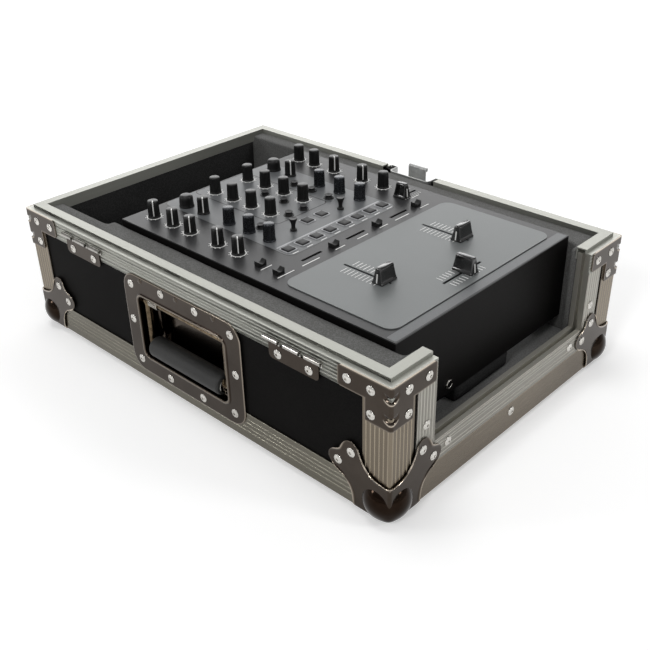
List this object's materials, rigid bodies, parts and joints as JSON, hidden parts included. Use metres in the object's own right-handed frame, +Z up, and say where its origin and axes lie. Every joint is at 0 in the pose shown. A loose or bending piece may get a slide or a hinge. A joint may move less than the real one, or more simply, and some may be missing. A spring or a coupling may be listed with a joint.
{
  "type": "mixer flight case",
  "caption": "Open road case of black board in aluminium edging with ball corners, a sprung side handle, a butterfly latch and a fader desk seated in foam.",
  "frame": {"origin": "centre of the bounding box on the ground under the four ball corners", "axes": "+X to the player's right, -Y towards the player and the open front, +Z up"},
  "size_m": [0.412, 0.594, 0.188],
  "materials": {
    "laminate": "black textured laminate on plywood",
    "extrusion": "satin anodised, ribbed",
    "hardware": "bright zinc and chrome plate",
    "rivet": "plain pop rivet",
    "spring_steel": "spring wire",
    "rubber_grip": "soft black rubber",
    "foam": "fine celled grey foam",
    "riser_foam": "black foam",
    "desk_case": "black powder coat",
    "desk_panel": "dark grey enamel with pale marks",
    "fader_plate": "grey anodised plate",
    "knob": "soft black plastic",
    "fader_cap": "black plastic with a white line",
    "pad": "grey silicone pads",
    "switch": "black plastic"
  },
  "bodies": {
    "case": {"left_panel": "laminate", "right_panel": "laminate", "back_panel": "laminate", "front_panel": "laminate", "floor_panel": "laminate", "rim_extrusions": "extrusion", "opening_channels": "extrusion", "corner_angles": "extrusion", "bottom_angles": "extrusion", "corner_braces": "hardware", "ball_corners": "hardware", "rivets": "rivet", "hinge_leaves": "hardware", "handle_dish": "hardware", "handle_spring": "spring_steel", "latch_dish": "hardware", "side_foam": "foam", "floor_foam": "foam", "foam_riser": "riser_foam"},
    "mixer": {"mixer_chassis": "desk_case", "mixer_top_panel": "desk_panel", "mixer_fader_plate": "fader_plate", "mixer_switches": "switch"},
    "handle": {"handle_bail": "hardware", "handle_grip": "rubber_grip"},
    "latch_wing": {"latch_wing": "hardware"},
    "latch_hook": {"latch_hook": "hardware"},
    "fader_left": {"mixer_fader_left": "fader_cap"},
    "fader_right": {"mixer_fader_right": "fader_cap"},
    "crossfader": {"mixer_crossfader": "fader_cap"},
    "cue_fader": {"mixer_cue_fader": "fader_cap"},
    "pads": {"mixer_pads": "pad"},
    "knob_left_1": {"mixer_knob_left_1": "knob"},
    "knob_left_2": {"mixer_knob_left_2": "knob"},
    "knob_left_3": {"mixer_knob_left_3": "knob"},
    "knob_left_4": {"mixer_knob_left_4": "knob"},
    "knob_left_5": {"mixer_knob_left_5": "knob"},
    "knob_trim_left_1": {"mixer_knob_trim_left_1": "knob"},
    "knob_trim_left_2": {"mixer_knob_trim_left_2": "knob"},
    "knob_trim_left_3": {"mixer_knob_trim_left_3": "knob"},
    "knob_trim_left_4": {"mixer_knob_trim_left_4": "knob"},
    "knob_eq_left_1": {"mixer_knob_eq_left_1": "knob"},
    "knob_eq_left_2": {"mixer_knob_eq_left_2": "knob"},
    "knob_eq_left_3": {"mixer_knob_eq_left_3": "knob"},
    "knob_eq_left_4": {"mixer_knob_eq_left_4": "knob"},
    "knob_eq_right_1": {"mixer_knob_eq_right_1": "knob"},
    "knob_eq_right_2": {"mixer_knob_eq_right_2": "knob"},
    "knob_eq_right_3": {"mixer_knob_eq_right_3": "knob"},
    "knob_eq_right_4": {"mixer_knob_eq_right_4": "knob"},
    "knob_trim_right_1": {"mixer_knob_trim_right_1": "knob"},
    "knob_trim_right_2": {"mixer_knob_trim_right_2": "knob"},
    "knob_trim_right_3": {"mixer_knob_trim_right_3": "knob"},
    "knob_trim_right_4": {"mixer_knob_trim_right_4": "knob"},
    "knob_right_1": {"mixer_knob_right_1": "knob"},
    "knob_right_2": {"mixer_knob_right_2": "knob"},
    "knob_right_3": {"mixer_knob_right_3": "knob"},
    "knob_right_4": {"mixer_knob_right_4": "knob"},
    "knob_right_5": {"mixer_knob_right_5": "knob"},
    "knob_trim_left_encoder": {"mixer_knob_trim_left_encoder": "knob"},
    "knob_trim_right_encoder": {"mixer_knob_trim_right_encoder": "knob"}
  },
  "joints": [
    {"name": "mixer_lift", "type": "slide", "parent": "case", "child": "mixer", "axis": [0, 0, 1], "range_m": [0, 0.12]},
    {"name": "handle_swing", "type": "hinge", "parent": "case", "child": "handle", "pos_m": [-0.192, 0, 0.112], "axis": [0, 1, 0], "range_deg": [0, 90], "stiffness_Nm_per_rad": 0.3, "springref_deg": -17.19},
    {"name": "latch_turn", "type": "hinge", "parent": "case", "child": "latch_wing", "pos_m": [0.1995, 0, 0.1175], "axis": [1, 0, 0], "range_deg": [0, 180]},
    {"name": "hook_draw", "type": "slide", "parent": "case", "child": "latch_hook", "axis": [0, 0, 1], "range_m": [-0.006, 0]},
    {"name": "fader_left_slide", "type": "slide", "parent": "mixer", "child": "fader_left", "axis": [0, 1, 0], "range_m": [-0.00432, 0.04968]},
    {"name": "fader_right_slide", "type": "slide", "parent": "mixer", "child": "fader_right", "axis": [0, 1, 0], "range_m": [-0.00432, 0.04968]},
    {"name": "crossfader_slide", "type": "slide", "parent": "mixer", "child": "crossfader", "axis": [1, 0, 0], "range_m": [-0.03186, 0.02214]},
    {"name": "cue_slide", "type": "slide", "parent": "mixer", "child": "cue_fader", "axis": [1, 0, 0], "range_m": [-0.0011, 0.0209]},
    {"name": "pads_press", "type": "slide", "parent": "mixer", "child": "pads", "axis": [0, 0, 1], "range_m": [-0.001, 0], "stiffness_N_per_m": 2000, "springref_m": 0.0005},
    {"name": "knob_left_1_turn", "type": "hinge", "parent": "mixer", "child": "knob_left_1", "pos_m": [-0.11999, -0.01016, 0.1675], "axis": [0, 0, 1], "range_deg": [-150, 150]},
    {"name": "knob_left_2_turn", "type": "hinge", "parent": "mixer", "child": "knob_left_2", "pos_m": [-0.11999, 0.0228, 0.1675], "axis": [0, 0, 1], "range_deg": [-150, 150]},
    {"name": "knob_left_3_turn", "type": "hinge", "parent": "mixer", "child": "knob_left_3", "pos_m": [-0.11999, 0.07018, 0.1675], "axis": [0, 0, 1], "range_deg": [-150, 150]},
    {"name": "knob_left_4_turn", "type": "hinge", "parent": "mixer", "child": "knob_left_4", "pos_m": [-0.11999, 0.10108, 0.1675], "axis": [0, 0, 1], "range_deg": [-150, 150]},
    {"name": "knob_left_5_turn", "type": "hinge", "parent": "mixer", "child": "knob_left_5", "pos_m": [-0.11999, 0.1361, 0.1675], "axis": [0, 0, 1], "range_deg": [-150, 150]},
    {"name": "knob_trim_left_1_turn", "type": "hinge", "parent": "mixer", "child": "knob_trim_left_1", "pos_m": [-0.07544, -0.0118, 0.1675], "axis": [0, 0, 1], "range_deg": [-150, 150]},
    {"name": "knob_trim_left_2_turn", "type": "hinge", "parent": "mixer", "child": "knob_trim_left_2", "pos_m": [-0.07544, 0.02116, 0.1675], "axis": [0, 0, 1], "range_deg": [-150, 150]},
    {"name": "knob_trim_left_3_turn", "type": "hinge", "parent": "mixer", "child": "knob_trim_left_3", "pos_m": [-0.07544, 0.05494, 0.1675], "axis": [0, 0, 1], "range_deg": [-150, 150]},
    {"name": "knob_trim_left_4_turn", "type": "hinge", "parent": "mixer", "child": "knob_trim_left_4", "pos_m": [-0.07544, 0.10026, 0.1675], "axis": [0, 0, 1], "range_deg": [-150, 150]},
    {"name": "knob_eq_left_1_turn", "type": "hinge", "parent": "mixer", "child": "knob_eq_left_1", "pos_m": [-0.02525, 0.03887, 0.1675], "axis": [0, 0, 1], "range_deg": [-150, 150]},
    {"name": "knob_eq_left_2_turn", "type": "hinge", "parent": "mixer", "child": "knob_eq_left_2", "pos_m": [-0.02525, 0.07183, 0.1675], "axis": [0, 0, 1], "range_deg": [-150, 150]},
    {"name": "knob_eq_left_3_turn", "type": "hinge", "parent": "mixer", "child": "knob_eq_left_3", "pos_m": [-0.02525, 0.10479, 0.1675], "axis": [0, 0, 1], "range_deg": [-150, 150]},
    {"name": "knob_eq_left_4_turn", "type": "hinge", "parent": "mixer", "child": "knob_eq_left_4", "pos_m": [-0.02525, 0.13693, 0.1675], "axis": [0, 0, 1], "range_deg": [-150, 150]},
    {"name": "knob_eq_right_1_turn", "type": "hinge", "parent": "mixer", "child": "knob_eq_right_1", "pos_m": [0.02866, 0.03887, 0.1675], "axis": [0, 0, 1], "range_deg": [-150, 150]},
    {"name": "knob_eq_right_2_turn", "type": "hinge", "parent": "mixer", "child": "knob_eq_right_2", "pos_m": [0.02866, 0.07183, 0.1675], "axis": [0, 0, 1], "range_deg": [-150, 150]},
    {"name": "knob_eq_right_3_turn", "type": "hinge", "parent": "mixer", "child": "knob_eq_right_3", "pos_m": [0.02866, 0.10479, 0.1675], "axis": [0, 0, 1], "range_deg": [-150, 150]},
    {"name": "knob_eq_right_4_turn", "type": "hinge", "parent": "mixer", "child": "knob_eq_right_4", "pos_m": [0.02866, 0.13693, 0.1675], "axis": [0, 0, 1], "range_deg": [-150, 150]},
    {"name": "knob_trim_right_1_turn", "type": "hinge", "parent": "mixer", "child": "knob_trim_right_1", "pos_m": [0.07425, -0.0118, 0.1675], "axis": [0, 0, 1], "range_deg": [-150, 150]},
    {"name": "knob_trim_right_2_turn", "type": "hinge", "parent": "mixer", "child": "knob_trim_right_2", "pos_m": [0.07425, 0.02116, 0.1675], "axis": [0, 0, 1], "range_deg": [-150, 150]},
    {"name": "knob_trim_right_3_turn", "type": "hinge", "parent": "mixer", "child": "knob_trim_right_3", "pos_m": [0.07425, 0.05494, 0.1675], "axis": [0, 0, 1], "range_deg": [-150, 150]},
    {"name": "knob_trim_right_4_turn", "type": "hinge", "parent": "mixer", "child": "knob_trim_right_4", "pos_m": [0.07425, 0.10644, 0.1675], "axis": [0, 0, 1], "range_deg": [-150, 150]},
    {"name": "knob_right_1_turn", "type": "hinge", "parent": "mixer", "child": "knob_right_1", "pos_m": [0.12177, -0.00851, 0.1675], "axis": [0, 0, 1], "range_deg": [-150, 150]},
    {"name": "knob_right_2_turn", "type": "hinge", "parent": "mixer", "child": "knob_right_2", "pos_m": [0.12177, 0.0261, 0.1675], "axis": [0, 0, 1], "range_deg": [-150, 150]},
    {"name": "knob_right_3_turn", "type": "hinge", "parent": "mixer", "child": "knob_right_3", "pos_m": [0.12177, 0.0743, 0.1675], "axis": [0, 0, 1], "range_deg": [-150, 150]},
    {"name": "knob_right_4_turn", "type": "hinge", "parent": "mixer", "child": "knob_right_4", "pos_m": [0.12177, 0.10974, 0.1675], "axis": [0, 0, 1], "range_deg": [-150, 150]},
    {"name": "knob_right_5_turn", "type": "hinge", "parent": "mixer", "child": "knob_right_5", "pos_m": [0.12177, 0.13775, 0.1675], "axis": [0, 0, 1], "range_deg": [-150, 150]},
    {"name": "knob_trim_left_encoder_turn", "type": "hinge", "parent": "mixer", "child": "knob_trim_left_encoder", "pos_m": [-0.07544, 0.13116, 0.1675], "axis": [0, 0, 1], "continuous": true},
    {"name": "knob_trim_right_encoder_turn", "type": "hinge", "parent": "mixer", "child": "knob_trim_right_encoder", "pos_m": [0.07425, 0.13693, 0.1675], "axis": [0, 0, 1], "continuous": true}
  ],
  "couplings": [
    {"joint": "hook_draw", "follows": "latch_turn", "m_per_rad": -0.0019}
  ]
}
